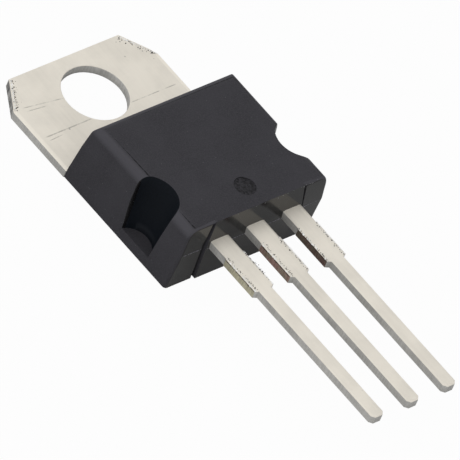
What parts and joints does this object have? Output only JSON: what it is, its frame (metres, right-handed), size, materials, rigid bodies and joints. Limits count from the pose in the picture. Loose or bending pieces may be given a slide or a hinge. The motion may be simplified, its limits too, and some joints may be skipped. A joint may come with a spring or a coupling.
{
  "type": "voltage regulator",
  "caption": "Moulded linear voltage regulator in an upright power package, with a flat metal mounting tab with a bolt hole and straight leads for a circuit board.",
  "frame": {"origin": "on the axis of the mounting hole, in the plane of the metal back", "axes": "+Z out of the front face, +Y towards the free end of the tab, leads towards -Y, input lead on -X and output lead on +X"},
  "size_m": [0.0104, 0.0286, 0.0044],
  "materials": {
    "tinned_copper": "matt tin plate over copper, bare copper on the cut edges of the leads",
    "mould_compound": "black filled epoxy, finely eroded, glossier on the lead end",
    "silicon": "polished",
    "solder": "dull",
    "bond_wire": "satin"
  },
  "bodies": {
    "root": {"tab_frame": "tinned_copper", "input_lead": "tinned_copper", "output_lead": "tinned_copper", "moulded_body": "mould_compound", "die": "silicon", "die_solder": "solder", "input_wire": "bond_wire", "output_wire": "bond_wire", "output_sense_wire": "bond_wire", "ground_wire": "bond_wire"}
  },
  "joints": []
}
